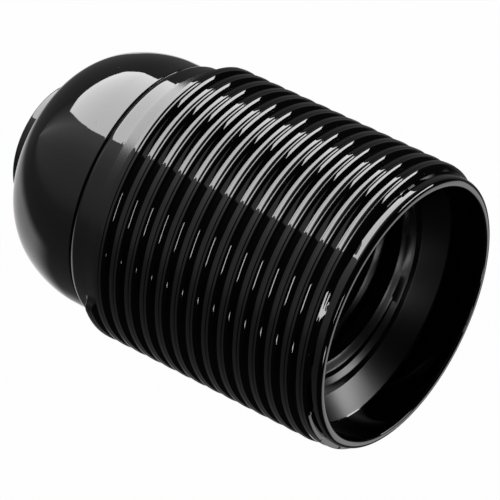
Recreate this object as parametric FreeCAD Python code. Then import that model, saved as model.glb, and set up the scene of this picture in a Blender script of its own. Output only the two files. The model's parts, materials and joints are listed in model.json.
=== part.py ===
import FreeCAD, Part
import math
import os

from FreeCAD import Vector

os.makedirs("parts", exist_ok=True)

# Three-part lamp holder with a fully threaded barrel: a domed cap with the entry thread, a terminal insert
# and a barrel that screws over both. Millimetres. The origin is the centre of the cap's entry face, and +Z
# runs along the axis to the lamp mouth, so the holder stands on its entry face.

AXIS = Vector(0, 0, 1)
ORIGIN = Vector(0, 0, 0)
FULL_TURN = 360.0

# Whole holder
total_height = 59.0
seam_height = 17.5
seam_gap = 0.1
moving_clearance = 0.15
edge_break = 0.3

# Domed cap
seam_step = 0.5
shoulder_height = 14.73
shoulder_arc_radius = 16.2
shoulder_sweep_deg = 26.3
crown_arc_radius = 11.2
boss_radius = 9.05
boss_root_fillet = 0.6
cavity_floor_height = 4.2
cavity_floor_width = 1.5
spigot_height = 6.5
spigot_wall = 2.0
key_width = 4.0
key_depth = 2.0

# Entry thread for a nipple, and its lock screw
entry_bore_radius = 4.46
entry_thread_length = 9.0
nipple_boss_radius = 7.4
nipple_boss_height = 11.0
cord_hole_radius = 3.6
lock_screw_radius = 1.5
lock_screw_length = 4.5
lock_screw_height = 6.5
lock_screw_entry_gap = 0.3

# Barrel outside: plain band, ring thread and rim
band_step = 0.4
barrel_wall = 1.95
band_height = 2.9
band_edge_radius = 0.4
thread_crest_radius = 20.0
thread_depth = 1.1
thread_pitch = 2.5
thread_crest_width = 0.7
thread_root_width = 0.4
thread_turns = 14
first_ridge_below_rim = 3.1
rim_step = 0.15
rim_band_height = 1.5
rim_edge_radius = 0.75

# Barrel inside: mouth, ledge, lamp thread and threaded sleeve
mouth_wall = 1.1
mouth_depth = 5.6
cone_width = 2.4
ledge_depth = 8.6
ledge_width = 1.4
ledge_thickness = 2.2
lamp_thread_lead_in = 0.65
lamp_thread_depth = 1.05
lamp_thread_pitch = 3.629
lamp_thread_crest_width = 0.9
lamp_thread_root_width = 0.9
lamp_thread_turns = 4
first_lamp_crest_below_rim = 10.8
sleeve_relief = 0.4
sleeve_clearance = 0.2

# Terminal insert
insert_body_clearance = 0.2
flange_clearance = 1.15
flange_thickness = 6.0
insert_body_depth = 8.5
barrier_gap = 1.5
barrier_thickness = 1.2
barrier_height = 1.6
barrier_length = 16.0
key_clearance = 0.2

# Terminals and their fasteners
terminal_inset = 5.6
terminal_size_x = 6.0
terminal_size_y = 7.0
terminal_height = 7.6
terminal_edge = 0.4
pocket_clearance = 0.2
screw_radius = 1.5
thread_clearance = 0.05
passing_clearance = 0.2
terminal_screw_reach = 3.6
contact_screw_reach = 2.8
blind_hole_margin = 0.2
screw_head_radius = 2.7
screw_head_height = 1.9
contact_head_radius = 2.4
contact_head_height = 1.3
slot_width = 0.8
slot_depth = 0.8
clamp_plate_thickness = 0.8

# Spring contacts
strip_thickness = 0.5
centre_strip_width = 6.0
centre_strip_tail = 3.4
centre_strip_reach = 2.8
centre_strip_level = 2.4
centre_strip_flat = 2.4
centre_strip_tip = 3.2
button_radius = 1.9
button_height = 0.9
button_shank_radius = 0.9
button_tail_radius = 1.3
button_tail_height = 0.4
shell_strip_width = 4.0
shell_strip_tail = 2.7
shell_strip_gap = 1.0
shell_strip_height = 4.8
shell_strip_lean = 0.4
shell_strip_lip = 1.4

# Radii that follow, from the ring thread inwards
thread_root_radius = thread_crest_radius - thread_depth
rim_radius = thread_root_radius + rim_step
band_radius = thread_root_radius - band_step
dome_radius = band_radius - seam_step
barrel_bore_radius = band_radius - barrel_wall
spigot_radius = barrel_bore_radius - moving_clearance
spigot_bore_radius = spigot_radius - spigot_wall
cavity_corner_radius = spigot_bore_radius - nipple_boss_radius - cavity_floor_width
insert_body_radius = spigot_bore_radius - insert_body_clearance
flange_radius = barrel_bore_radius - flange_clearance
sleeve_radius = flange_radius - sleeve_clearance
mouth_radius = thread_root_radius - mouth_wall
ledge_radius = mouth_radius - cone_width
ledge_inner_radius = ledge_radius - ledge_width
lamp_thread_major_radius = ledge_inner_radius - lamp_thread_lead_in
lamp_thread_minor_radius = lamp_thread_major_radius - lamp_thread_depth
sleeve_bore_radius = lamp_thread_minor_radius + sleeve_relief

# Places across the insert that follow
terminal_offset = insert_body_radius - terminal_inset
centre_strip_outer = terminal_offset + centre_strip_tail
centre_strip_bend = terminal_offset - centre_strip_reach
shell_strip_inner = terminal_offset - shell_strip_tail
shell_strip_outer = sleeve_bore_radius - shell_strip_gap
barrier_offset = shell_strip_inner - barrier_gap

# Heights that follow
spigot_top = seam_height + spigot_height
insert_top = spigot_top + flange_thickness
insert_bottom = spigot_top - insert_body_depth
pocket_roof = spigot_top
terminal_bottom = pocket_roof - terminal_height
plate_bottom = terminal_bottom - clamp_plate_thickness


def point(radius, height):
    """A point of an outline, in the XZ plane."""
    return Vector(radius, 0, height)


def line(start, end):
    return Part.LineSegment(start, end).toShape()


def arc_about(centre, radius, start_deg, end_deg):
    """An arc in the XZ plane, its angles measured down from +X."""
    def at(angle_deg):
        angle = math.radians(angle_deg)
        return centre + Vector(radius * math.cos(angle), 0, -radius * math.sin(angle))

    middle_deg = (start_deg + end_deg) / 2
    return Part.Arc(at(start_deg), at(middle_deg), at(end_deg)).toShape()


def rounded_outline(corners):
    """Closed edges through (radius, height, rounding) corners, with a tangent arc at each rounded one."""
    pieces = []
    count = len(corners)
    for index in range(count):
        here = point(corners[index][0], corners[index][1])
        rounding = corners[index][2]
        before = point(*corners[index - 1][:2])
        after = point(*corners[(index + 1) % count][:2])
        if rounding == 0:
            pieces.append((here, None, here))
            continue
        to_before = (before - here).normalize()
        to_after = (after - here).normalize()
        half_angle = to_before.getAngle(to_after) / 2
        reach = rounding / math.tan(half_angle)
        inward = (to_before + to_after).normalize()
        middle = here + inward * (rounding / math.sin(half_angle) - rounding)
        pieces.append((here + to_before * reach, middle, here + to_after * reach))
    edges = []
    for index in range(count):
        start, middle, end = pieces[index]
        if middle is not None:
            edges.append(Part.Arc(start, middle, end).toShape())
        edges.append(line(end, pieces[(index + 1) % count][0]))
    return edges


def turned(edges):
    """The solid of revolution of a closed outline about the holder's axis."""
    return Part.Face(Part.Wire(edges)).revolve(ORIGIN, AXIS, FULL_TURN)


def centred_box(size_x, size_y, bottom, top, x=0.0, y=0.0):
    corner = Vector(x - size_x / 2, y - size_y / 2, bottom)
    return Part.makeBox(size_x, size_y, top - bottom, corner)


def upright_cylinder(radius, bottom, top, x=0.0):
    return Part.makeCylinder(radius, top - bottom, Vector(x, 0, bottom))


def thread_ridges(low_radius, high_radius, low_width, high_width, pitch, heights):
    """Outline corners of ring-shaped thread ridges, one at each height, in the order of the heights."""
    step = 1 if heights[-1] > heights[0] else -1
    flank_width = (pitch - low_width - high_width) / 2
    corners = []
    for height in heights:
        for offset, radius in (
            (-high_width / 2 - flank_width, low_radius),
            (-high_width / 2, high_radius),
            (high_width / 2, high_radius),
            (high_width / 2 + flank_width, low_radius),
        ):
            corners.append((radius, height + step * offset, 0))
    return corners


def dome_outside():
    """Edges of the cap's outside, from the boss edge up to the seam."""
    shoulder_centre = point(dome_radius - shoulder_arc_radius, shoulder_height)
    sweep = math.radians(shoulder_sweep_deg)
    direction = Vector(math.cos(sweep), 0, -math.sin(sweep))
    crown_centre = shoulder_centre + direction * (shoulder_arc_radius - crown_arc_radius)
    root_reach = boss_radius + boss_root_fillet - crown_centre.x
    root_deg = math.degrees(math.acos(root_reach / crown_arc_radius))
    crown = arc_about(crown_centre, crown_arc_radius, root_deg, shoulder_sweep_deg)
    shoulder = arc_about(shoulder_centre, shoulder_arc_radius, shoulder_sweep_deg, 0.0)
    root = crown.valueAt(crown.FirstParameter)
    boss_top = point(boss_radius, root.z - boss_root_fillet)
    fillet_middle = point(
        boss_radius + boss_root_fillet * (1 - math.cos(math.pi / 4)),
        root.z - boss_root_fillet * (1 - math.sin(math.pi / 4)),
    )
    return [
        line(point(boss_radius - edge_break, 0), point(boss_radius, edge_break)),
        line(point(boss_radius, edge_break), boss_top),
        Part.Arc(boss_top, fillet_middle, root).toShape(),
        crown,
        shoulder,
        line(point(dome_radius, shoulder_height), point(dome_radius, seam_height - edge_break)),
    ]


def cap_outline():
    """The cap's whole section: outside, spigot, wiring cavity, nipple boss and entry bore."""
    corner_centre = point(
        spigot_bore_radius - cavity_corner_radius, cavity_floor_height + cavity_corner_radius
    )
    edges = dome_outside()
    upper = [
        point(dome_radius, seam_height - edge_break),
        point(dome_radius - edge_break, seam_height),
        point(spigot_radius, seam_height),
        point(spigot_radius, spigot_top - edge_break),
        point(spigot_radius - edge_break, spigot_top),
        point(spigot_bore_radius, spigot_top),
        point(spigot_bore_radius, corner_centre.z),
    ]
    lower = [
        point(corner_centre.x, cavity_floor_height),
        point(nipple_boss_radius, cavity_floor_height),
        point(nipple_boss_radius, nipple_boss_height),
        point(cord_hole_radius, nipple_boss_height),
        point(cord_hole_radius, entry_thread_length),
        point(entry_bore_radius, entry_thread_length),
        point(entry_bore_radius, 0),
        point(boss_radius - edge_break, 0),
    ]
    for run in (upper, lower):
        for start, end in zip(run, run[1:]):
            edges.append(line(start, end))
    edges.append(arc_about(corner_centre, cavity_corner_radius, 0.0, 90.0))
    return Part.__sortEdges__(edges)


def lock_screw_hole():
    start = Vector(0, -entry_bore_radius / 2, lock_screw_height)
    return Part.makeCylinder(
        lock_screw_radius + thread_clearance, nipple_boss_radius, start, Vector(0, -1, 0)
    )


def make_cap():
    """Domed cap: keyed spigot that carries the insert, and the nipple boss in its cavity."""
    cap = turned(cap_outline())
    notch_reach = 2 * (spigot_radius + edge_break)
    notch = centred_box(
        key_width + 2 * key_clearance, notch_reach, spigot_top - key_depth - key_clearance, insert_top
    )
    return cap.cut(notch).cut(lock_screw_hole())


def make_nipple_lock_screw():
    """Headless slotted screw that stops a nipple turning in the entry thread."""
    start = Vector(0, -entry_bore_radius - lock_screw_entry_gap, lock_screw_height)
    outward = Vector(0, -1, 0)
    screw = Part.makeCylinder(lock_screw_radius, lock_screw_length, start, outward)
    end_y = start.y - lock_screw_length
    slot = Part.makeBox(
        2 * screw_head_radius,
        slot_depth,
        slot_width,
        Vector(-screw_head_radius, end_y, lock_screw_height - slot_width / 2),
    )
    return screw.cut(slot)


def barrel_outside():
    """Outline corners of the barrel's outside, from the seam up to the rim's outer edge."""
    top_ridge = total_height - first_ridge_below_rim
    heights = [top_ridge - thread_pitch * (thread_turns - 1 - index) for index in range(thread_turns)]
    band_top = seam_height + band_height
    rim_foot = total_height - rim_band_height
    corners = [
        (barrel_bore_radius, seam_height + seam_gap, 0),
        (band_radius, seam_height + seam_gap, band_edge_radius),
        (band_radius, band_top, 0),
    ]
    corners += thread_ridges(
        thread_root_radius,
        thread_crest_radius,
        thread_root_width,
        thread_crest_width,
        thread_pitch,
        heights,
    )
    corners += [
        (rim_radius, rim_foot, 0),
        (rim_radius, total_height, rim_edge_radius),
    ]
    return corners


def barrel_inside():
    """Outline corners of the barrel's inside, from the rim down through the lamp thread."""
    top_crest = total_height - first_lamp_crest_below_rim
    heights = [top_crest - lamp_thread_pitch * index for index in range(lamp_thread_turns)]
    ledge_height = total_height - ledge_depth
    corners = [
        (mouth_radius + edge_break, total_height, 0),
        (mouth_radius, total_height - edge_break, 0),
        (mouth_radius, total_height - mouth_depth, 0),
        (ledge_radius, ledge_height, 0),
        (ledge_inner_radius, ledge_height, 0),
        (lamp_thread_major_radius, ledge_height - lamp_thread_lead_in, 0),
    ]
    corners += thread_ridges(
        lamp_thread_major_radius,
        lamp_thread_minor_radius,
        lamp_thread_root_width,
        lamp_thread_crest_width,
        lamp_thread_pitch,
        heights,
    )[:-1]
    last_crest_edge = heights[-1] - lamp_thread_crest_width / 2
    web_bottom = ledge_height - ledge_thickness
    corners += [
        (sleeve_bore_radius, last_crest_edge - sleeve_relief, 0),
        (sleeve_bore_radius, insert_top, 0),
        (sleeve_radius, insert_top, 0),
        (sleeve_radius, web_bottom, 0),
        (barrel_bore_radius, web_bottom, 0),
    ]
    return corners


def make_barrel():
    """Barrel, one moulding: threaded outer wall, mouth, ledge and the sleeve with the lamp thread."""
    return turned(rounded_outline(barrel_outside() + barrel_inside()))


def contact_screw_hole(side):
    return upright_cylinder(
        screw_radius + passing_clearance, pocket_roof, insert_top, side * terminal_offset
    )


def terminal_pocket(side):
    return centred_box(
        terminal_size_x + 2 * pocket_clearance,
        terminal_size_y + 2 * pocket_clearance,
        insert_bottom,
        pocket_roof,
        side * terminal_offset,
    )


def make_insert():
    """Ceramic insert: flange clamped by the sleeve, keyed body, two terminal pockets and a barrier rib."""
    flange = upright_cylinder(flange_radius, spigot_top, insert_top)
    body = upright_cylinder(insert_body_radius, insert_bottom, spigot_top)
    keys = centred_box(key_width, 2 * flange_radius, spigot_top - key_depth, spigot_top)
    keys = keys.common(upright_cylinder(flange_radius, insert_bottom, insert_top))
    barrier = centred_box(
        barrier_thickness, barrier_length, insert_top, insert_top + barrier_height, barrier_offset
    )
    insert = flange.fuse([body, keys, barrier]).removeSplitter()
    for side in (-1, 1):
        insert = insert.cut(terminal_pocket(side)).cut(contact_screw_hole(side))
    return insert


def make_terminal(side):
    """Brass block in its pocket, tapped from above for the contact and from below for the wire."""
    x = side * terminal_offset
    block = centred_box(terminal_size_x, terminal_size_y, terminal_bottom, pocket_roof, x)
    upright_edges = [edge for edge in block.Edges if abs(edge.tangentAt(edge.FirstParameter).z) > 0.5]
    block = block.makeChamfer(terminal_edge, upright_edges)
    hole_radius = screw_radius + thread_clearance
    upper_hole = upright_cylinder(
        hole_radius, pocket_roof - contact_screw_reach - blind_hole_margin, pocket_roof, x
    )
    lower_hole = upright_cylinder(
        hole_radius, terminal_bottom, terminal_bottom + terminal_screw_reach + blind_hole_margin, x
    )
    return block.cut(upper_hole).cut(lower_hole)


def make_clamp_plate(side):
    """Plate under a terminal screw's head that grips the wire."""
    x = side * terminal_offset
    plate = centred_box(terminal_size_x, terminal_size_y, plate_bottom, terminal_bottom, x)
    return plate.cut(upright_cylinder(screw_radius + passing_clearance, plate_bottom, terminal_bottom, x))


def slotted_screw(head_radius, seat, head_end, shank_end, x):
    """Slotted screw on an upright axis, its head between the seat and head_end."""
    head = upright_cylinder(head_radius, min(seat, head_end), max(seat, head_end), x)
    rim = [edge for edge in head.Edges if abs(edge.BoundBox.ZMin - head_end) < edge_break / 2]
    head = head.makeChamfer(edge_break, [edge for edge in rim if edge.BoundBox.ZLength < edge_break])
    shank = upright_cylinder(screw_radius, min(seat, shank_end), max(seat, shank_end), x)
    slot_end = head_end + slot_depth if head_end < seat else head_end - slot_depth
    slot = centred_box(2 * head_radius, slot_width, min(slot_end, head_end), max(slot_end, head_end), x)
    return head.fuse(shank).cut(slot)


def make_terminal_screw(side):
    """Wire screw, driven from the cap side."""
    return slotted_screw(
        screw_head_radius,
        plate_bottom,
        plate_bottom - screw_head_height,
        terminal_bottom + terminal_screw_reach,
        side * terminal_offset,
    )


def make_contact_screw(side):
    """Screw that holds a contact strip down, driven from the lamp side."""
    seat = insert_top + strip_thickness
    return slotted_screw(
        contact_head_radius,
        seat,
        seat + contact_head_height,
        pocket_roof - contact_screw_reach,
        side * terminal_offset,
    )


def bent_strip(route, width):
    """Sheet strip of the named thickness whose underside or outer face follows the route of (x, z) points."""
    points = [Vector(x, 0, z) for x, z in route]
    runs = [(end - start).normalize() for start, end in zip(points, points[1:])]
    normals = [Vector(-run.z, 0, run.x) for run in runs]
    offsets = [normals[0]]
    for first, second in zip(normals, normals[1:]):
        offsets.append((first + second) / (1 + first.dot(second)))
    offsets.append(normals[-1])
    other_side = [here + offset * strip_thickness for here, offset in zip(points, offsets)]
    outline = Part.makePolygon(points + other_side[::-1] + [points[0]])
    strip = Part.Face(outline).extrude(Vector(0, width, 0))
    strip.translate(Vector(0, -width / 2, 0))
    return strip


def make_centre_contact():
    """Spring strip from its screw to the axis, held above the insert so that it can be pressed down."""
    raised = insert_top + centre_strip_level
    route = [
        (-centre_strip_outer, insert_top),
        (-centre_strip_bend, insert_top),
        (-centre_strip_flat, raised),
        (centre_strip_flat, raised),
        (centre_strip_tip, raised - strip_thickness),
    ]
    strip = bent_strip(route, centre_strip_width)
    screw_hole = upright_cylinder(
        screw_radius + passing_clearance, insert_top, insert_top + strip_thickness, -terminal_offset
    )
    button_hole = upright_cylinder(
        button_shank_radius + thread_clearance, raised, raised + strip_thickness
    )
    return strip.cut(screw_hole).cut(button_hole)


def make_contact_button():
    """Contact rivet at the free end of the centre strip, which a lamp presses down."""
    underside = insert_top + centre_strip_level
    top_side = underside + strip_thickness
    head = upright_cylinder(button_radius, top_side, top_side + button_height)
    rim = [edge for edge in head.Edges if edge.BoundBox.ZMin > top_side + button_height / 2]
    head = head.makeFillet(button_height / 2, rim)
    shank = upright_cylinder(button_shank_radius, underside, top_side)
    tail = upright_cylinder(button_tail_radius, underside - button_tail_height, underside)
    return head.fuse([shank, tail])


def make_shell_contact():
    """Side strip that rises beside the sleeve and touches the lamp's threaded shell."""
    bend_x = shell_strip_outer
    lean_x = shell_strip_outer - shell_strip_lean
    lip_start = insert_top + shell_strip_height
    route = [
        (shell_strip_inner, insert_top),
        (bend_x, insert_top),
        (lean_x, lip_start),
        (bend_x, lip_start + shell_strip_lip),
    ]
    strip = bent_strip(route, shell_strip_width)
    screw_hole = upright_cylinder(
        screw_radius + passing_clearance, insert_top, insert_top + strip_thickness, terminal_offset
    )
    return strip.cut(screw_hole)


def main():
    pieces = {
        "cap": make_cap(),
        "nipple_lock_screw": make_nipple_lock_screw(),
        "barrel": make_barrel(),
        "insert": make_insert(),
        "centre_contact": make_centre_contact(),
        "contact_button": make_contact_button(),
        "shell_contact": make_shell_contact(),
    }
    for name, side in (("centre", -1), ("shell", 1)):
        pieces[name + "_terminal"] = make_terminal(side)
        pieces[name + "_clamp_plate"] = make_clamp_plate(side)
        pieces[name + "_terminal_screw"] = make_terminal_screw(side)
        pieces[name + "_contact_screw"] = make_contact_screw(side)
    for name, shape in pieces.items():
        shape.exportStep("parts/" + name + ".step")


main()
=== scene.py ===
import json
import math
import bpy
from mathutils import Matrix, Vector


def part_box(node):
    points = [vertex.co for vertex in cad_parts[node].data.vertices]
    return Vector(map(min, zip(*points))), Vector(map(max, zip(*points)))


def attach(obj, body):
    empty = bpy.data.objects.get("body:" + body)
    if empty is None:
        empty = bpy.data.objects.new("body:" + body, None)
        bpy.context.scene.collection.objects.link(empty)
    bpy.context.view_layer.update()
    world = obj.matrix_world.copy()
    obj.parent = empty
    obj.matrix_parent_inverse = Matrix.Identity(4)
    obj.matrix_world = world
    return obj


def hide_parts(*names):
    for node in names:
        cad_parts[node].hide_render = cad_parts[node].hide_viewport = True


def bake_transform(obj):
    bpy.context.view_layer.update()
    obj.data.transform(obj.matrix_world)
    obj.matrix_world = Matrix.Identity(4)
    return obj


bl_info = {
    "name": "Ring-threaded lamp holder",
    "version": (1, 0, 0),
    "blender": (4, 5, 0),
    "location": "3D View > Sidebar > Lamp holder",
    "description": "Dresses the lamp holder's frame with finely threaded mouldings, materials and a studio",
    "category": "Object",
}

import bpy
import numpy as np
from mathutils import Matrix

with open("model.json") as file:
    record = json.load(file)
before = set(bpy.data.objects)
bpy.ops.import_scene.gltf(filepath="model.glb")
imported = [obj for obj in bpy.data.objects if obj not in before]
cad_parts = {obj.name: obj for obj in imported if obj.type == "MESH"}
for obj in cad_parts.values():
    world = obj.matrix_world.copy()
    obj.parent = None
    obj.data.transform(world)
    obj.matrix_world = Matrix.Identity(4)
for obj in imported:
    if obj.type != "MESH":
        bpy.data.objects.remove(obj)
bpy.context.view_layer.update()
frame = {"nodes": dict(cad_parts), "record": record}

# ---------------------------------------------------------------- sizes, in millimetres as on the part
MM = 0.001
TURN = 2 * math.pi
CREST_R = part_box("barrel")[1].x / MM
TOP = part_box("barrel")[1].z / MM
ROOT_R = CREST_R - 1.1
BAND_R = ROOT_R - 0.4
RIM_R = ROOT_R + 0.15
BORE_R = BAND_R - 1.95
MOUTH_R = ROOT_R - 1.1
LEDGE_R = MOUTH_R - 2.4
LEDGE_IN_R = LEDGE_R - 1.4
LAMP_MAJOR_R = LEDGE_IN_R - 0.65
LAMP_MINOR_R = LAMP_MAJOR_R - 1.05
SLEEVE_BORE_R = LAMP_MINOR_R + 0.4
SLEEVE_R = BORE_R - 1.35
DOME_R = BAND_R - 0.5
SPIGOT_R = BORE_R - 0.15
SPIGOT_BORE_R = SPIGOT_R - 2.0
SEAM_Z = 17.5
BARREL_FOOT_Z = SEAM_Z + 0.1
BAND_TOP_Z = SEAM_Z + 2.9
RIM_FOOT_Z = TOP - 1.5
SLEEVE_FOOT_Z = SEAM_Z + 12.5
LEDGE_Z = TOP - 8.6
LAMP_TOP_Z = TOP - 9.25
WEB_Z = LEDGE_Z - 2.2
JOIN_FOOT_Z = SEAM_Z + 1.0
SPIGOT_JOIN_TOP_Z = SEAM_Z + 6.2
SPIGOT_TOP_Z = SEAM_Z + 6.5
COLUMNS = 240
SHARP_DEG = 38.0
STRIP_SHARP_DEG = 40.0
WELD_DECIMALS = 5


# ---------------------------------------------------------------- surfaces
def add_object(name, data):
    """A new object with the given data, in the scene's collection."""
    obj = bpy.data.objects.new(name, data)
    bpy.context.scene.collection.objects.link(obj)
    return obj


def flat_mesh(name, corners):
    """One polygon through the corners."""
    mesh = bpy.data.meshes.new(name)
    mesh.from_pydata(corners, [], [tuple(range(len(corners)))])
    return mesh


def smooth_step(edge_low, edge_high, values):
    """0 below the low edge, 1 above the high edge and the cubic 3t^2 - 2t^3 of the share between them."""
    share = np.clip((values - edge_low) / (edge_high - edge_low), 0.0, 1.0)
    return share * share * (3 - 2 * share)


def arc_points(centre_r, centre_z, radius, start_deg, end_deg, count):
    """Points of a circle arc: radius times cosine outwards and sine upwards of evenly spaced angles."""
    angles = np.radians(np.linspace(start_deg, end_deg, count))
    return np.column_stack([centre_r + radius * np.cos(angles), centre_z + radius * np.sin(angles)])


def turned_grid(profile, angles):
    """A profile of (radius, height) rows carried round the axis: point = (r cos a, r sin a, z)."""
    profile = np.asarray(profile, float)
    radii, heights = profile[:, 0], profile[:, 1]
    x = np.outer(np.cos(angles), radii)
    y = np.outer(np.sin(angles), radii)
    z = np.broadcast_to(heights, x.shape)
    return np.stack([x, y, z], axis=-1)


def threaded_grid(angles, z_low, z_high, pitch, lead_z, phases, radius_at, r_low, r_high):
    """A helical wall. Row i of column angle a lies at height lead + pitch * a / turn + phase i,
    so each row runs along the helix; rows beyond the two plane ends are held on those ends."""
    turns_down = math.ceil((lead_z - z_low) / pitch) + 1
    turns_up = math.ceil((z_high - lead_z) / pitch) + 1
    turns = np.arange(-turns_down, turns_up + 1)
    rise = np.asarray(phases, float)
    rows = (turns[:, None] * pitch + rise[None, :]).ravel()
    row_turn = np.repeat(turns, len(rise))
    row_phase = np.tile(rise, len(turns))
    heights = lead_z + pitch * angles[:, None] / TURN + rows[None, :]
    winding = row_turn[None, :] + angles[:, None] / TURN
    radii = radius_at(np.broadcast_to(row_phase, heights.shape), winding, heights)
    radii = np.where(heights <= z_low, r_low, radii)
    radii = np.where(heights >= z_high, r_high, radii)
    heights = np.clip(heights, z_low, z_high)
    x = np.cos(angles)[:, None] * radii
    y = np.sin(angles)[:, None] * radii
    return np.stack([x, y, heights], axis=-1), len(rise)


def grid_faces(columns, rows, row_shift=0, start=0):
    """Quads of a closed ring of columns. The last column meets the first one row_shift rows further on."""
    column = np.arange(columns)[:, None]
    row = np.arange(rows - 1)[None, :]
    following = (column + 1) % columns
    shift = np.where(column == columns - 1, row_shift, 0)
    near = column * rows
    far = following * rows
    far_low = far + np.minimum(row + shift, rows - 1)
    far_high = far + np.minimum(row + 1 + shift, rows - 1)
    quads = np.stack([near + row, far_low, far_high, near + row + 1], axis=-1)
    return quads.reshape(-1, 4) + start


class Surface:
    """Collects grids, welds points that fall on the same place and makes one mesh in metres."""

    def __init__(self):
        self.points = []
        self.quads = []
        self.count = 0

    def add(self, grid, row_shift=0, inward=False):
        """Adds a grid of columns and rows; the corners of an inward wall run the other way round."""
        columns, rows = grid.shape[:2]
        quads = grid_faces(columns, rows, row_shift, self.count)
        self.quads.append(quads[:, ::-1] if inward else quads)
        self.points.append(grid.reshape(-1, 3))
        self.count += columns * rows

    def turned(self, profile, angles):
        """Adds a profile of (radius, height) carried round the axis."""
        self.add(turned_grid(profile, angles))

    def make(self, name, sharp_deg):
        """Welds the points, drops what has collapsed and makes the object, sharp above the given angle."""
        points = np.concatenate(self.points)
        quads = np.concatenate(self.quads)
        keys = np.round(points, WELD_DECIMALS) + 0.0
        unique, inverse = np.unique(keys, axis=0, return_inverse=True)
        quads = inverse.reshape(-1)[quads]
        same_next = quads == np.roll(quads, -1, axis=1)
        repeats = same_next.sum(axis=1)
        across = (quads[:, 0] == quads[:, 2]) | (quads[:, 1] == quads[:, 3])
        whole = quads[(repeats == 0) & ~across]
        single = (repeats == 1) & ~across
        short = quads[single]
        drop = np.argmax(same_next[single], axis=1)
        order = (drop[:, None] + 1 + np.arange(3)[None, :]) % 4
        corners = np.take_along_axis(short, order, axis=1)
        loops = np.concatenate([whole.ravel(), corners.ravel()])
        sizes = np.concatenate([np.full(len(whole), 4), np.full(len(corners), 3)])
        starts = np.concatenate([[0], np.cumsum(sizes)[:-1]])
        mesh = bpy.data.meshes.new(name)
        mesh.vertices.add(len(unique))
        mesh.vertices.foreach_set("co", (unique * MM).astype(np.float32).ravel())
        mesh.loops.add(len(loops))
        mesh.loops.foreach_set("vertex_index", loops.astype(np.int32))
        mesh.polygons.add(len(starts))
        mesh.polygons.foreach_set("loop_start", starts.astype(np.int32))
        mesh.update(calc_edges=True)
        mesh.validate()
        mesh.shade_smooth()
        mesh.set_sharp_from_angle(angle=math.radians(sharp_deg))
        return add_object(name, mesh)


# ---------------------------------------------------------------- barrel
START_DEG = 278.0
RING_PITCH = 2.52
RING_TURNS = 13.86
RING_LEAD_Z = 55.4
RING_LEAD_DEG = 243.0
RING_START_FADE = (0.0, 0.012)
RING_RUNOUT = (1.12, 1.45)
LAMP_PITCH = 3.629
LAMP_ROWS = 14
LAMP_LEAD_Z = 48.23
LAMP_LEAD_DEG = 90.0
LAMP_ROUNDING = (0.12, 0.88)
LAMP_START_FADE = (-2.95, -2.8)
LAMP_RUNOUT = (0.6, 0.8)
JOIN_PITCH = 2.0
JOIN_DEPTH = 0.45
JOIN_PHASES = [0.0, 0.5, 0.75, 1.5, 1.75]
JOIN_SHARES = [0, 0, 1, 1, 0]
# place along the pitch and radius, in millimetres: crest, chamfer, second flat, flank, root
RIDGE = np.array([
    [0.00, 19.88], [0.03, 19.965], [0.07, 20.00], [0.32, 20.00], [0.59, 20.00],
    [0.62, 19.992], [0.67, 19.970], [0.73, 19.943], [0.78, 19.928],
    [0.80, 19.925], [0.93, 19.922], [1.05, 19.918],
    [1.08, 19.900], [1.14, 19.845], [1.24, 19.745], [1.36, 19.605], [1.50, 19.425], [1.66, 19.195],
    [1.83, 18.93], [1.97, 18.93], [2.22, 19.30],
])


def ring_thread_radius(phase, winding, height):
    """Ridge profile by the phase along the pitch, faded to the root at the blunt start and at the run-out."""
    full = np.interp(phase, RIDGE[:, 0], RIDGE[:, 1])
    start = smooth_step(*RING_START_FADE, winding + RING_TURNS - 1.0)
    runout = 1 - smooth_step(*RING_RUNOUT, winding)
    top_share = smooth_step(RIM_FOOT_Z - 0.25, RIM_FOOT_Z, height)
    root = ROOT_R + (RIM_R - ROOT_R) * top_share
    return root + (full - ROOT_R) * start * runout


def lamp_thread_radius(phase, winding, height):
    """Round lamp thread: a cosine of the phase, between the minor and the major radius."""
    wave = 0.5 + 0.5 * np.cos(phase / LAMP_PITCH * TURN)
    shaped = smooth_step(*LAMP_ROUNDING, wave)
    fade = smooth_step(*LAMP_START_FADE, winding) * (1 - smooth_step(*LAMP_RUNOUT, winding))
    return LAMP_MAJOR_R - (LAMP_MAJOR_R - LAMP_MINOR_R) * shaped * fade


def joining_thread_radius(base):
    """Shallow trapezoid of the joining thread, on the given base radius."""
    def radius(phase, winding, height):
        return base + JOIN_DEPTH * np.interp(phase, [*JOIN_PHASES, JOIN_PITCH], [*JOIN_SHARES, 0])
    return radius


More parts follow.
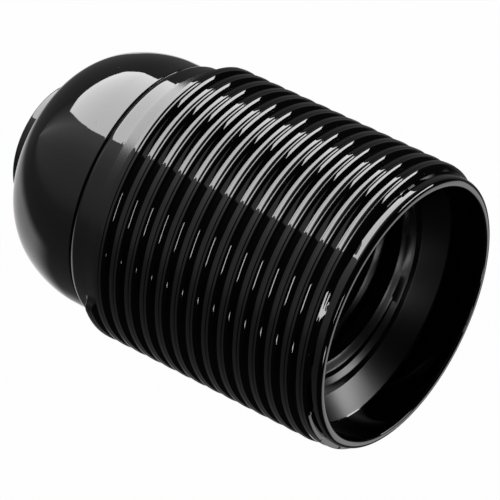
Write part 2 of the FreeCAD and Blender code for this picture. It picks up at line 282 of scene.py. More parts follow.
def make_barrel():
    """The barrel as one closed shell: foot, band, ring thread, rim, mouth, ledge, lamp thread, sleeve
    and bore, walked from the outside foot over the rim and back down the inside."""
    start_angle = math.radians(START_DEG)
    angles = start_angle + np.linspace(0, TURN, COLUMNS, endpoint=False)
    local = angles - start_angle
    surface = Surface()
    foot = np.vstack([
        [[BORE_R, BARREL_FOOT_Z]],
        arc_points(BAND_R - 0.9, BARREL_FOOT_Z + 0.9, 0.9, -90, 0, 14),
        np.column_stack([np.full(7, BAND_R), np.linspace(BARREL_FOOT_Z + 1.0, BAND_TOP_Z - 0.15, 7)]),
        [[BAND_R + 0.06, BAND_TOP_Z - 0.04], [ROOT_R, BAND_TOP_Z]],
    ])
    surface.turned(foot, angles)
    lead = RING_LEAD_Z + RING_PITCH * (math.degrees(start_angle) - RING_LEAD_DEG) / 360.0 - RING_PITCH
    grid, shift = threaded_grid(
        local, BAND_TOP_Z, RIM_FOOT_Z, RING_PITCH, lead, RIDGE[:, 0],
        ring_thread_radius, ROOT_R, RIM_R,
    )
    surface.add(spin_grid(grid, start_angle), shift)
    top = np.vstack([
        [[RIM_R, RIM_FOOT_Z], [RIM_R, TOP - 1.1]],
        arc_points(RIM_R - 0.75, TOP - 0.75, 0.75, 0, 90, 12),
        [[MOUTH_R + 0.35, TOP]],
        arc_points(MOUTH_R + 0.3, TOP - 0.3, 0.3, 90, 180, 6),
        np.column_stack([np.full(5, MOUTH_R), np.linspace(TOP - 0.8, TOP - 5.5, 5)]),
        [[MOUTH_R, TOP - 5.6], [MOUTH_R - 0.08, TOP - 5.7], [LEDGE_R + 0.1, TOP - 8.5]],
        [[LEDGE_R, LEDGE_Z], [LEDGE_R - 0.12, LEDGE_Z], [LEDGE_IN_R + 0.05, LEDGE_Z]],
        [[LEDGE_IN_R, TOP - 8.62], [LEDGE_IN_R - 0.06, TOP - 8.68], [LAMP_MAJOR_R, LAMP_TOP_Z]],
    ])
    surface.turned(top, angles)
    barrel_inside(surface, angles, local, start_angle)
    return surface.make("barrel_moulding", SHARP_DEG)


def spin_grid(grid, angle):
    """Turns a grid about the axis by an angle, by the plane rotation of x and y."""
    c, s = math.cos(angle), math.sin(angle)
    x = grid[..., 0] * c - grid[..., 1] * s
    y = grid[..., 0] * s + grid[..., 1] * c
    return np.stack([x, y, grid[..., 2]], axis=-1)


def barrel_inside(surface, angles, local, start_angle):
    """Lamp thread and sleeve, walked downwards so that the faces point at the axis."""
    lead = LAMP_LEAD_Z + LAMP_PITCH * (math.degrees(start_angle) - LAMP_LEAD_DEG) / 360.0 - LAMP_PITCH
    phases = np.linspace(0, LAMP_PITCH, LAMP_ROWS, endpoint=False)
    z_low = SLEEVE_FOOT_Z + 3.0
    grid, shift = threaded_grid(
        local, z_low, LAMP_TOP_Z, LAMP_PITCH, lead, phases,
        lamp_thread_radius, SLEEVE_BORE_R, LAMP_MAJOR_R,
    )
    surface.add(spin_grid(grid, start_angle), shift, inward=True)
    sleeve = [
        [SLEEVE_BORE_R, z_low], [SLEEVE_BORE_R, SLEEVE_FOOT_Z + 0.15], [SLEEVE_BORE_R + 0.15, SLEEVE_FOOT_Z],
        [SLEEVE_R - 0.15, SLEEVE_FOOT_Z], [SLEEVE_R, SLEEVE_FOOT_Z + 0.15], [SLEEVE_R, WEB_Z - 0.3],
        [SLEEVE_R + 0.3, WEB_Z], [BORE_R - 0.3, WEB_Z], [BORE_R, WEB_Z - 0.3], [BORE_R, SLEEVE_FOOT_Z],
        [BORE_R, SPIGOT_TOP_Z],
    ]
    surface.turned(sleeve, angles)
    grid, shift = threaded_grid(
        local, JOIN_FOOT_Z, SPIGOT_TOP_Z, JOIN_PITCH, JOIN_FOOT_Z, JOIN_PHASES,
        joining_thread_radius(BORE_R), BORE_R, BORE_R,
    )
    surface.add(spin_grid(grid, start_angle), shift, inward=True)
    surface.turned([[BORE_R, JOIN_FOOT_Z], [BORE_R, BARREL_FOOT_Z]], angles)


# ---------------------------------------------------------------- cap
SHOULDER_Z = 14.73
SHOULDER_ARC = 16.2
SHOULDER_SWEEP = 26.3
CROWN_ARC = 11.2
BOSS_R = 9.05
ENTRY_BORE_R = 4.46
ENTRY_MAJOR_R = 5.0
ENTRY_PITCH = 1.0
ENTRY_FOOT_Z = 0.5
ENTRY_TOP_Z = 8.6
ENTRY_PHASES = [0.0, 0.12, 0.5, 0.62]
ENTRY_RADII = [ENTRY_BORE_R, ENTRY_BORE_R, ENTRY_MAJOR_R, ENTRY_MAJOR_R]
CAVITY_FOOT_Z = 4.2
ENTRY_TUBE_R = 7.4


def make_cap():
    """The cap as one closed shell: entry face, boss, dome arcs, spigot with its joining thread, cavity."""
    angles = np.linspace(0, TURN, COLUMNS, endpoint=False)
    sweep = math.radians(SHOULDER_SWEEP)
    shoulder_r = DOME_R - SHOULDER_ARC
    crown_r = shoulder_r + (SHOULDER_ARC - CROWN_ARC) * math.cos(sweep)
    crown_z = SHOULDER_Z - (SHOULDER_ARC - CROWN_ARC) * math.sin(sweep)
    root_deg = math.degrees(math.acos((BOSS_R + 0.6 - crown_r) / CROWN_ARC))
    root_z = crown_z - CROWN_ARC * math.sin(math.radians(root_deg))
    surface = Surface()
    outside = np.vstack([
        [[ENTRY_MAJOR_R + 0.25, 0.0], [BOSS_R - 0.35, 0.0]],
        arc_points(BOSS_R - 0.3, 0.3, 0.3, -90, 0, 6),
        [[BOSS_R, 0.4], [BOSS_R, root_z - 0.65]],
        arc_points(BOSS_R + 0.6, root_z - 0.6, 0.6, 180, 90, 7),
        arc_points(crown_r, crown_z, CROWN_ARC, -root_deg, -SHOULDER_SWEEP, 44)[1:],
        arc_points(shoulder_r, SHOULDER_Z, SHOULDER_ARC, -SHOULDER_SWEEP, 0, 30)[1:],
        [[DOME_R, SEAM_Z - 1.2], [DOME_R, SEAM_Z - 0.4]],
        arc_points(DOME_R - 0.3, SEAM_Z - 0.3, 0.3, 0, 90, 6),
        [[SPIGOT_R + 0.1, SEAM_Z], [SPIGOT_R, SEAM_Z + 0.1], [SPIGOT_R, JOIN_FOOT_Z]],
    ])
    surface.turned(outside, angles)
    grid, shift = threaded_grid(
        angles, JOIN_FOOT_Z, SPIGOT_JOIN_TOP_Z, JOIN_PITCH, JOIN_FOOT_Z, JOIN_PHASES,
        joining_thread_radius(SPIGOT_R - JOIN_DEPTH), SPIGOT_R, SPIGOT_R,
    )
    surface.add(grid, shift)
    cap_cavity(surface, angles)
    return surface.make("cap_moulding", SHARP_DEG)


def entry_thread_radius(phase, winding, height):
    """Trapezoid of the entry thread, between the tapping bore and the major radius."""
    return np.interp(phase, [*ENTRY_PHASES, ENTRY_PITCH], [*ENTRY_RADII, ENTRY_BORE_R])


def cap_cavity(surface, angles):
    """Spigot top, wiring cavity, nipple boss and the entry thread, walked inwards and down."""
    corner = SPIGOT_BORE_R - ENTRY_TUBE_R - 1.5
    inside = np.vstack([
        [[SPIGOT_R, SPIGOT_JOIN_TOP_Z], [SPIGOT_R - 0.3, SPIGOT_TOP_Z], [SPIGOT_BORE_R + 0.2, SPIGOT_TOP_Z]],
        [[SPIGOT_BORE_R, SEAM_Z + 6.3]],
        arc_points(SPIGOT_BORE_R - corner, CAVITY_FOOT_Z + corner, corner, 0, -90, 14),
        [[ENTRY_TUBE_R, CAVITY_FOOT_Z], [ENTRY_TUBE_R, 10.8], [7.2, 11.0]],
        [[3.75, 11.0], [3.6, 10.85], [3.6, 9.0]],
        [[ENTRY_BORE_R, 9.0], [ENTRY_BORE_R, ENTRY_TOP_Z]],
    ])
    surface.turned(inside, angles)
    grid, shift = threaded_grid(
        angles, ENTRY_FOOT_Z, ENTRY_TOP_Z, ENTRY_PITCH, ENTRY_FOOT_Z, ENTRY_PHASES,
        entry_thread_radius, ENTRY_MAJOR_R, ENTRY_BORE_R,
    )
    surface.add(grid, shift, inward=True)
    surface.turned([[ENTRY_MAJOR_R, ENTRY_FOOT_Z], [ENTRY_MAJOR_R + 0.25, 0.0]], angles)


# ---------------------------------------------------------------- centre strip
BEND_REACH = 0.55
STRIP_LOW_Z = SLEEVE_FOOT_Z + 0.25
STRIP_HIGH_Z = SLEEVE_FOOT_Z + 2.65
# across the width and through the thickness, in millimetres
STRIP_SECTION = [
    (-2.75, -0.25), (2.75, -0.25), (2.95, -0.2), (3.0, 0.0), (2.95, 0.2),
    (2.75, 0.25), (-2.75, 0.25), (-2.95, 0.2), (-3.0, 0.0), (-2.95, -0.2),
]


def make_centre_strip():
    """Strip section swept along its mid-line, whose bends are rounded by quadratic curves."""
    low, high = STRIP_LOW_Z, STRIP_HIGH_Z
    control = np.array([[-12.0, low], [-5.8, low], [-2.4, high], [2.4, high], [3.2, high - 0.5]])
    fine = []
    for before, here, after in zip(control[:-2], control[1:-1], control[2:]):
        start = here + (before - here) / np.linalg.norm(before - here) * BEND_REACH
        end = here + (after - here) / np.linalg.norm(after - here) * BEND_REACH
        share = np.linspace(0, 1, 6)[:, None]
        fine.append((1 - share) ** 2 * start + 2 * share * (1 - share) * here + share ** 2 * end)
    line = np.vstack([control[:1], np.linspace([-10, low], [-7, low], 6), *fine, control[-1:]])
    run = np.gradient(line, axis=0)
    run /= np.linalg.norm(run, axis=1)[:, None]
    side = np.column_stack([-run[:, 1], run[:, 0]])
    section = np.array(STRIP_SECTION)
    grid = np.zeros((len(section), len(line), 3))
    grid[..., 0] = line[None, :, 0] + side[None, :, 0] * section[:, None, 1]
    grid[..., 1] = section[:, None, 0]
    grid[..., 2] = line[None, :, 1] + side[None, :, 1] * section[:, None, 1]
    surface = Surface()
    surface.add(grid)
    for end in (0, -1):
        ring = grid[:, end, :]
        middle = ring.mean(axis=0)
        cap_grid = np.stack([ring, np.broadcast_to(middle, ring.shape)], axis=1)
        surface.add(cap_grid if end == -1 else cap_grid[:, ::-1])
    return surface.make("centre_strip", STRIP_SHARP_DEG)


# ---------------------------------------------------------------- shader values and helpers
NOISE_SPAN = (0.3, 0.7)
ROUGH_SPREAD = (0.7, 1.4)
SPECK_HEIGHT = 0.35
DUST_EDGE = (0.05, 0.03)
MOULDING_IOR = 1.62
INSIDE_MATTE = 0.26
RELIEF_MATTE = 0.2
DUST_MATTE = 0.5
DUST_TINT = 0.12
DUST_COLOUR = (0.05, 0.05, 0.055)
EDGE_SOFTNESS = 0.0001
RELIEF_SOFTNESS = 0.0003
# slot: colour, colour of the darker patches, mean roughness, scale of the brushed streaks
METALS = {
    "spring_bronze": ((0.72, 0.5, 0.3), (0.5, 0.32, 0.18), 0.28, 300.0),
    "contact_brass": ((0.83, 0.66, 0.36), (0.6, 0.44, 0.2), 0.2, 420.0),
    "terminal_brass": ((0.8, 0.62, 0.33), (0.55, 0.4, 0.18), 0.3, 260.0),
    "zinc_steel": ((0.7, 0.72, 0.74), (0.45, 0.46, 0.48), 0.25, 500.0),
}
BRUSHING = (1.0, 14.0, 14.0)
PATCH_EDGE = (0.5, 0.75)
GLAZE = (0.86, 0.85, 0.8)
GLAZE_SHADE = (0.74, 0.72, 0.66)
KILN_SPECK = (0.3, 0.27, 0.23)
PORE_EDGE = (0.06, 0.03)
GLAZE_ROUGHNESS = (0.12, 0.3)


def new_node(tree, kind, **values):
    """Adds a node and sets its plain attributes, and its inputs where a key names a socket."""
    node = tree.nodes.new(kind)
    for key, value in values.items():
        if hasattr(node, key):
            setattr(node, key, value)
        else:
            node.inputs[key.replace("_", " ")].default_value = value
    return node


def link(tree, source, output, target, socket):
    """Links an output to a socket, each by its name or number."""
    tree.links.new(source.outputs[output], target.inputs[socket])


def ramp(tree, source, output, from_range, to_range=(0.0, 1.0), kind="LINEAR"):
    """A clamped Map Range node that takes an output from one range to another."""
    node = new_node(tree, "ShaderNodeMapRange", interpolation_type=kind, clamp=True)
    for name, limits in (("From", from_range), ("To", to_range)):
        node.inputs[name + " Min"].default_value = limits[0]
        node.inputs[name + " Max"].default_value = limits[1]
    link(tree, source, output, node, "Value")
    return node


def blended_colour(tree, colour, other, source, output):
    """A colour mix from one colour to another by an output."""
    mix = new_node(tree, "ShaderNodeMix", data_type="RGBA")
    mix.inputs["A"].default_value = (*colour, 1.0)
    mix.inputs["B"].default_value = (*other, 1.0)
    link(tree, source, output, mix, "Factor")
    return mix


def add_bump(tree, shader, source, output, strength, depth):
    """Sends an output to the shader's normal as a height of the given depth in metres."""
    bump = new_node(tree, "ShaderNodeBump", Strength=strength, Distance=depth)
    link(tree, source, output, bump, "Height")
    link(tree, bump, "Normal", shader, "Normal")


def spread(roughness):
    """Lowest and highest roughness about a mean one."""
    return tuple(roughness * share for share in ROUGH_SPREAD)


def moulding_grain_group():
    """Fine surface of a polished moulding: orange peel and specks as a height, haze as a mask."""
    group = bpy.data.node_groups.new("moulded_surface", "ShaderNodeTree")
    face = group.interface
    scale = face.new_socket("Scale", in_out="INPUT", socket_type="NodeSocketFloat")
    scale.default_value = 1.0
    face.new_socket("Height", in_out="OUTPUT", socket_type="NodeSocketFloat")
    face.new_socket("Haze", in_out="OUTPUT", socket_type="NodeSocketFloat")
    face.new_socket("Dust", in_out="OUTPUT", socket_type="NodeSocketFloat")
    start = group.nodes.new("NodeGroupInput")
    end = group.nodes.new("NodeGroupOutput")
    coords = group.nodes.new("ShaderNodeTexCoord")
    place = new_node(group, "ShaderNodeVectorMath", operation="SCALE")
    link(group, coords, "Object", place, 0)
    link(group, start, "Scale", place, "Scale")
    peel = new_node(group, "ShaderNodeTexNoise", Scale=900.0, Detail=2.0, Roughness=0.5)
    speck = new_node(group, "ShaderNodeTexNoise", Scale=5200.0, Detail=2.0, Roughness=0.6)
    haze = new_node(group, "ShaderNodeTexNoise", Scale=160.0, Detail=4.0, Roughness=0.6)
    dust = new_node(group, "ShaderNodeTexVoronoi", Scale=700.0, Randomness=1.0)
    for node in (peel, speck, haze, dust):
        link(group, place, "Vector", node, "Vector")
    total = maths(group, "ADD", peel, maths(group, "MULTIPLY", speck, SPECK_HEIGHT))
    grains = ramp(group, dust, "Distance", DUST_EDGE)
    link(group, total, "Value", end, "Height")
    link(group, haze, "Fac", end, "Haze")
    link(group, grains, "Result", end, "Dust")
    return group


def principled(name):
    """A new node material; its own suffix keeps it apart from the plain slots that come with the frame."""
    material = bpy.data.materials.new(name + "_finish")
    material.use_nodes = True
    tree = material.node_tree
    return material, tree, tree.nodes["Principled BSDF"]


def set_material(obj, material):
    """Gives an object one material in place of those it has."""
    obj.data.materials.clear()
    obj.data.materials.append(material)


def zone_mask(tree, source, output, low, high, softness):
    """1 where the output lies between the low and the high limit, with soft ends."""
    rise = ramp(tree, source, output, (low, low + softness))
    fall = ramp(tree, source, output, (high, high - softness))
    return maths(tree, "MULTIPLY", rise, fall)


def black_moulding(settings):
    """Polished black plastic: near mirror, with orange peel, haze, matte specks and an unpolished inside."""
    material, tree, shader = principled("black_moulding")
    surface = new_node(tree, "ShaderNodeGroup")
    surface.node_tree = bpy.data.node_groups["moulded_surface"]
    coords = new_node(tree, "ShaderNodeTexCoord")
    place = new_node(tree, "ShaderNodeSeparateXYZ")
    link(tree, coords, "Object", place, "Vector")
    flat = new_node(tree, "ShaderNodeVectorMath", operation="MULTIPLY")
    flat.inputs[1].default_value = (1.0, 1.0, 0.0)
    link(tree, coords, "Object", flat, 0)
    reach = new_node(tree, "ShaderNodeVectorMath", operation="LENGTH")
    link(tree, flat, "Vector", reach, 0)
    deep = zone_mask(tree, reach, "Value", 0.0, (MOUTH_R - 0.05) * MM, EDGE_SOFTNESS)
    high = zone_mask(tree, place, "Z", (SLEEVE_FOOT_Z - 1.0) * MM, (TOP + 1.0) * MM, EDGE_SOFTNESS)
    inside = maths(tree, "MULTIPLY", deep, high)
    relief = zone_mask(tree, place, "Z", (BAND_TOP_Z + 0.1) * MM, (BAND_TOP_Z + 1.9) * MM, RELIEF_SOFTNESS)
    polish = ramp(tree, surface, "Haze", NOISE_SPAN, spread(settings.gloss_roughness))
    matte = maths(tree, "MULTIPLY", inside, INSIDE_MATTE)
    turned = maths(tree, "MULTIPLY", relief, RELIEF_MATTE)
    spots = new_node(tree, "ShaderNodeMath", operation="MULTIPLY")
    spots.inputs[1].default_value = DUST_MATTE
    link(tree, surface, "Dust", spots, 0)
    rough = maths(tree, "ADD", maths(tree, "ADD", polish, matte), maths(tree, "ADD", turned, spots))
    link(tree, rough, "Value", shader, "Roughness")
    add_bump(tree, shader, surface, "Height", 1.0, settings.peel_depth)
    specks = new_node(tree, "ShaderNodeMath", operation="MULTIPLY")
    specks.inputs[1].default_value = DUST_TINT
    link(tree, surface, "Dust", specks, 0)
    tint = blended_colour(tree, settings.black, DUST_COLOUR, specks, "Value")
    link(tree, tint, "Result", shader, "Base Color")
    shader.inputs["IOR"].default_value = MOULDING_IOR
    return material


def metal(name, colour, dark, roughness, grain_scale):
    """Rolled or turned metal: brushed streaks along X in roughness and height, darker in its patches."""
    material, tree, shader = principled(name)
    coords = new_node(tree, "ShaderNodeTexCoord")
    stretch = new_node(tree, "ShaderNodeMapping")
    stretch.inputs["Scale"].default_value = BRUSHING
    streaks = new_node(tree, "ShaderNodeTexNoise", Scale=grain_scale, Detail=3.0, Roughness=0.6)
    patches = new_node(tree, "ShaderNodeTexNoise", Scale=420.0, Detail=4.0, Roughness=0.6)
    link(tree, coords, "Object", stretch, "Vector")
    link(tree, stretch, "Vector", streaks, "Vector")
    link(tree, coords, "Object", patches, "Vector")
    rough = ramp(tree, streaks, "Fac", NOISE_SPAN, spread(roughness))
    link(tree, rough, "Result", shader, "Roughness")
    mask = ramp(tree, patches, "Fac", PATCH_EDGE)
    tint = blended_colour(tree, colour, dark, mask, "Result")
    link(tree, tint, "Result", shader, "Base Color")
    add_bump(tree, shader, streaks, "Fac", 0.5, 0.00002)
    shader.inputs["Metallic"].default_value = 1.0
    return material


def porcelain():
    """Glazed ceramic: off-white body, faint pores, a wavy glaze and grey kiln specks."""
    material, tree, shader = principled("porcelain")
    coords = new_node(tree, "ShaderNodeTexCoord")
    body = new_node(tree, "ShaderNodeTexNoise", Scale=240.0, Detail=5.0, Roughness=0.55)
    pores = new_node(tree, "ShaderNodeTexVoronoi", Scale=520.0)
    link(tree, coords, "Object", body, "Vector")
    link(tree, coords, "Object", pores, "Vector")
    tint = blended_colour(tree, GLAZE, GLAZE_SHADE, body, "Fac")
    near = ramp(tree, pores, "Distance", PORE_EDGE)
    specks = blended_colour(tree, GLAZE, KILN_SPECK, near, "Result")
    link(tree, tint, "Result", specks, "A")
    link(tree, specks, "Result", shader, "Base Color")
    add_bump(tree, shader, body, "Fac", 0.6, 0.00004)
    rough = ramp(tree, body, "Fac", (0.0, 1.0), GLAZE_ROUGHNESS)
    link(tree, rough, "Result", shader, "Roughness")
    return material


# ---------------------------------------------------------------- studio
def direction(azimuth_deg, elevation_deg):
    """Unit vector of a compass azimuth from +X towards +Y and an elevation above the horizon."""
    azimuth, elevation = math.radians(azimuth_deg), math.radians(elevation_deg)
    flat = math.cos(elevation)
    return np.array([flat * math.cos(azimuth), flat * math.sin(azimuth), math.sin(elevation)])


def maths(tree, operation, first, second):
    """A Math node on two nodes or numbers."""
    node = new_node(tree, "ShaderNodeMath", operation=operation)
    for index, value in enumerate((first, second)):
        if isinstance(value, (int, float)):
            node.inputs[index].default_value = value
        else:
            tree.links.new(value.outputs[0], node.inputs[index])
    return node


def edge_mask(tree, ray, corner_a, corner_b, softness):
    """1 on the left of the great circle from corner a to corner b, fading over the softness of the sine."""
    normal = np.cross(direction(*corner_a), direction(*corner_b))
    normal /= np.linalg.norm(normal)
    side = new_node(tree, "ShaderNodeVectorMath", operation="DOT_PRODUCT")
    side.inputs[1].default_value = normal
    link(tree, ray, 0, side, 0)
    return ramp(tree, side, "Value", (-softness, softness), kind="SMOOTHSTEP")


def pale_patch(tree, ray, corners, softness, level):
    """Level inside every great circle through the corners, which run anticlockwise as seen from outside."""
    lit = level
    for corner_a, corner_b in zip(corners, corners[1:] + corners[:1]):
        lit = maths(tree, "MULTIPLY", edge_mask(tree, ray, corner_a, corner_b, softness), lit)
    return lit


# name, corners as (azimuth, elevation) in degrees seen from the part, level where 1 is white
PANELS = [
    ("key_softbox", [(172, -16), (171, -40), (200, -60), (223, -62), (240, -46), (250, -16)], 7.6),
    ("side_softbox", [(155, 19), (182, 42), (176, 52), (150, 30)], 9.0),
    ("front_lamp", [(285, 69), (320, 65), (320, 71), (285, 75)], 9.0),
    ("low_lamp", [(352, 57), (8, 57), (8, 64), (352, 64)], 9.0),
]
PANEL_DISTANCE = 1.2
FLOOR_Z = -0.35
# level of the walls by azimuth in degrees
WALLS = [(0, 0.13), (200, 0.16), (214, 0.3), (228, 0.5), (243, 0.95), (252, 0.8), (262, 0.6), (275, 0.45),
         (300, 0.36), (311, 0.28), (320, 0.17), (335, 0.13), (360, 0.13)]
WALL_PEAK = 3.0
WALL_EDGE = (0.2, -0.1)
# corners, softness of the edges, level: pale areas that the dome's left limb and the rim reflect
PATCHES = [
    ([(8, -40), (14, -66), (60, -70), (100, -40), (70, -28)], 0.12, 1.0),
    ([(60, 16), (120, 16), (120, 42), (60, 42)], 0.08, 1.7),
]
FLOOR_X = 0.2
FLOOR_NEAR_Y = 0.42
FLOOR_FAR_Y = 1.15
PAPER_COLOUR = (0.9, 0.9, 0.9, 1.0)
PAPER_ROUGHNESS = 0.9
SEEN_WHITE = 0.985
LENS_MM = 273.2
SENSOR_MM = 36.0
CLIP = (0.01, 50.0)
CAMERA_PLACE = (0.00133, -0.44216, 0.26841)
CAMERA_RIGHT = (-0.43807, 0.42083, 0.79435)
CAMERA_UP = (-0.89894, -0.20508, -0.38710)
CAMERA_BACK = (0.0, -0.88365, 0.46814)


def make_panels():
    """Lit panels: each polygon lies in the plane at right angles to the mean of its corner directions."""
    for name, corners, level in PANELS:
        rays = np.array([direction(*corner) for corner in corners])
        middle = rays.mean(axis=0)
        middle /= np.linalg.norm(middle)
        points = rays / (rays @ middle)[:, None] * PANEL_DISTANCE
        panel = add_object(name, flat_mesh(name, points.tolist()))
        panel.visible_camera = False
        material = bpy.data.materials.new(name)
        material.use_nodes = True
        tree = material.node_tree
        tree.nodes.remove(tree.nodes["Principled BSDF"])
        glow = new_node(tree, "ShaderNodeEmission")
        glow.inputs["Strength"].default_value = level
        link(tree, glow, "Emission", tree.nodes["Material Output"], "Surface")
        set_material(panel, material)


def make_world(settings):
    """Grey surroundings by direction, the same for every ray: dark above, a pale wall at one side below."""
    world = bpy.data.worlds.new("studio")
    bpy.context.scene.world = world
    world.use_nodes = True
    tree = world.node_tree
    tree.nodes.clear()
    coords = new_node(tree, "ShaderNodeTexCoord")
    ray = new_node(tree, "ShaderNodeVectorMath", operation="NORMALIZE")
    link(tree, coords, "Generated", ray, 0)
    split = new_node(tree, "ShaderNodeSeparateXYZ")
    link(tree, ray, "Vector", split, "Vector")
    azimuth = new_node(tree, "ShaderNodeMath", operation="ARCTAN2")
    link(tree, split, "Y", azimuth, 0)
    link(tree, split, "X", azimuth, 1)
    turn = maths(tree, "WRAP", maths(tree, "DIVIDE", azimuth, TURN), 1.0)
    turn.inputs[2].default_value = 0.0
    walls = new_node(tree, "ShaderNodeValToRGB")
    stops = walls.color_ramp.elements
    while len(stops) < len(WALLS):
        stops.new(0.5)
    for stop, (place, level) in zip(stops, WALLS):
        stop.position = place / 360.0
        grey = level / WALL_PEAK
        stop.color = (grey, grey, grey, 1.0)
    link(tree, turn, "Value", walls, "Fac")
    low = ramp(tree, split, "Z", WALL_EDGE, kind="SMOOTHSTEP")
    total = maths(tree, "MULTIPLY", maths(tree, "MULTIPLY", walls, WALL_PEAK), low)
    total = maths(tree, "ADD", total, settings.surround_level)
    for corners, softness, level in PATCHES:
        total = maths(tree, "ADD", total, pale_patch(tree, ray, corners, softness, level))
    studio = new_node(tree, "ShaderNodeBackground")
    link(tree, total, "Value", studio, "Strength")
    out = new_node(tree, "ShaderNodeOutputWorld")
    link(tree, studio, "Background", out, "Surface")


def make_floor():
    """A pale floor well below the part: white to camera, gloss and glass, with a small share that is lit."""
    corners = [
        (-FLOOR_X, FLOOR_NEAR_Y, FLOOR_Z), (FLOOR_X, FLOOR_NEAR_Y, FLOOR_Z),
        (FLOOR_X, FLOOR_FAR_Y, FLOOR_Z), (-FLOOR_X, FLOOR_FAR_Y, FLOOR_Z),
    ]
    floor = add_object("floor", flat_mesh("floor", corners))
    material, tree, shader = principled("floor_paper")
    shader.inputs["Base Color"].default_value = PAPER_COLOUR
    shader.inputs["Roughness"].default_value = PAPER_ROUGHNESS
    shader.inputs["Specular IOR Level"].default_value = 0.0
    glow = new_node(tree, "ShaderNodeEmission")
    glow.inputs["Strength"].default_value = 1.0
    path = new_node(tree, "ShaderNodeLightPath")
    seen = new_node(tree, "ShaderNodeMath", operation="MAXIMUM")
    link(tree, path, "Is Camera Ray", seen, 0)
    link(tree, path, "Is Glossy Ray", seen, 1)
    shown = new_node(tree, "ShaderNodeMath", operation="MAXIMUM")
    link(tree, seen, "Value", shown, 0)
    link(tree, path, "Is Transmission Ray", shown, 1)
    share = maths(tree, "MULTIPLY", shown, SEEN_WHITE)
    mix = new_node(tree, "ShaderNodeMixShader")
    link(tree, share, "Value", mix, "Fac")
    link(tree, shader, "BSDF", mix, 1)
    link(tree, glow, "Emission", mix, 2)
    link(tree, mix, "Shader", tree.nodes["Material Output"], "Surface")
    set_material(floor, material)


def make_camera():
    """A long lens at the place and turn given by the camera's own right, up and backward directions."""
    data = bpy.data.cameras.new("camera")
    data.lens = LENS_MM
    data.sensor_width = SENSOR_MM
    data.clip_start, data.clip_end = CLIP
    camera = add_object("camera", data)
    turn = Matrix((CAMERA_RIGHT, CAMERA_UP, CAMERA_BACK)).transposed().to_4x4()
    camera.matrix_world = Matrix.Translation(CAMERA_PLACE) @ turn
    bpy.context.scene.camera = camera


# ---------------------------------------------------------------- settings, operators and panel
class LampHolderSettings(bpy.types.PropertyGroup):
    """Values that the sidebar offers"""

    black: bpy.props.FloatVectorProperty(
        name="Moulding colour", description="Colour of the black moulding",
        default=(0.0012, 0.0012, 0.002), size=3, min=0.0, max=1.0, subtype="COLOR",
    )
    gloss_roughness: bpy.props.FloatProperty(
        name="Moulding roughness", description="Mean roughness of the polished moulding",
        default=0.035, min=0.0, max=1.0, subtype="FACTOR",
    )
    peel_depth: bpy.props.FloatProperty(
        name="Orange peel", description="Depth of the moulding's fine waviness",
        default=0.0000015, min=0.0, max=0.001, precision=7, subtype="DISTANCE", unit="LENGTH",
    )
    surround_level: bpy.props.FloatProperty(
        name="Surround", description="Level of the dark surroundings that the gloss reflects",
        default=0.02, min=0.0, max=2.0,
    )


class LAMPHOLDER_OT_barrel(bpy.types.Operator):
    """Makes the threaded barrel, which replaces the frame's barrel"""

    bl_idname = "lampholder.barrel"
    bl_label = "Make barrel"

    def execute(self, context):
        barrel = make_barrel()
        set_material(barrel, bpy.data.materials["black_moulding_finish"])
        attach(barrel, "barrel_body")
        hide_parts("barrel")
        return {"FINISHED"}


class LAMPHOLDER_OT_cap(bpy.types.Operator):
    """Makes the domed cap, which replaces the frame's cap"""

    bl_idname = "lampholder.cap"
    bl_label = "Make cap"

    def execute(self, context):
        cap = make_cap()
        set_material(cap, bpy.data.materials["black_moulding_finish"])
        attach(cap, "cap_body")
        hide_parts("cap")
        return {"FINISHED"}


class LAMPHOLDER_OT_centre_strip(bpy.types.Operator):
    """Makes the bent centre strip between the insert and the contact button"""

    bl_idname = "lampholder.centre_strip"
    bl_label = "Make centre strip"

    def execute(self, context):
        strip = make_centre_strip()
        set_material(strip, bpy.data.materials["spring_bronze_finish"])
        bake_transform(strip)
        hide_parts("centre_contact")
        return {"FINISHED"}


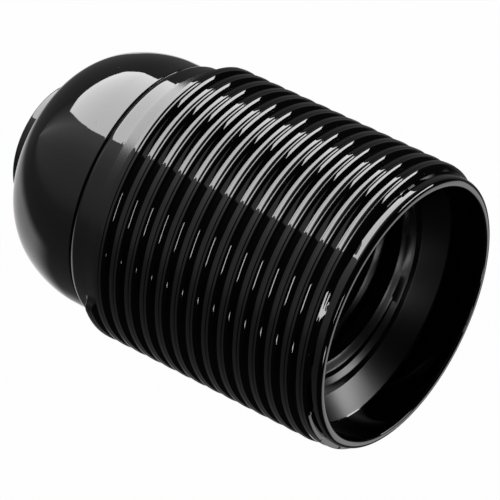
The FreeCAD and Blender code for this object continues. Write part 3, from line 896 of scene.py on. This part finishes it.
class LAMPHOLDER_OT_materials(bpy.types.Operator):
    """Makes the materials and gives each frame piece its finish"""

    bl_idname = "lampholder.materials"
    bl_label = "Make materials"

    def execute(self, context):
        moulding_grain_group()
        settings = context.scene.lamp_holder
        finishes = {
            "black_moulding": black_moulding(settings),
            "porcelain": porcelain(),
            **{slot: metal(slot, *values) for slot, values in METALS.items()},
        }
        for part in frame["record"]["subparts"]:
            node = frame["nodes"][part["node"]]
            set_material(node, finishes[part["material_slot"]])
        return {"FINISHED"}


class LAMPHOLDER_OT_stage(bpy.types.Operator):
    """Makes the floor, the surroundings, the lamps and the camera"""

    bl_idname = "lampholder.stage"
    bl_label = "Make stage"

    def execute(self, context):
        make_camera()
        make_world(context.scene.lamp_holder)
        make_panels()
        make_floor()
        context.scene.view_settings.view_transform = "Standard"
        return {"FINISHED"}


class LAMPHOLDER_PT_panel(bpy.types.Panel):
    """Sidebar panel with the values and one button for each operator"""

    bl_label = "Lamp holder"
    bl_idname = "LAMPHOLDER_PT_panel"
    bl_space_type = "VIEW_3D"
    bl_region_type = "UI"
    bl_category = "Lamp holder"

    def draw(self, context):
        settings = context.scene.lamp_holder
        for name in ("black", "gloss_roughness", "peel_depth", "surround_level"):
            self.layout.prop(settings, name)
        for operator in OPERATORS:
            self.layout.operator(operator.bl_idname)


OPERATORS = (
    LAMPHOLDER_OT_materials,
    LAMPHOLDER_OT_barrel,
    LAMPHOLDER_OT_cap,
    LAMPHOLDER_OT_centre_strip,
    LAMPHOLDER_OT_stage,
)
CLASSES = (LampHolderSettings, *OPERATORS, LAMPHOLDER_PT_panel)


def register():
    """Registers the settings, the operators and the panel."""
    for item in CLASSES:
        bpy.utils.register_class(item)
    bpy.types.Scene.lamp_holder = bpy.props.PointerProperty(type=LampHolderSettings)


def unregister():
    """Takes back what register did."""
    del bpy.types.Scene.lamp_holder
    for item in reversed(CLASSES):
        bpy.utils.unregister_class(item)


def main():
    """Makes everything through the operators."""
    register()
    bpy.ops.lampholder.materials()
    bpy.ops.lampholder.barrel()
    bpy.ops.lampholder.cap()
    bpy.ops.lampholder.centre_strip()
    bpy.ops.lampholder.stage()


if __name__ == "__main__":
    main()
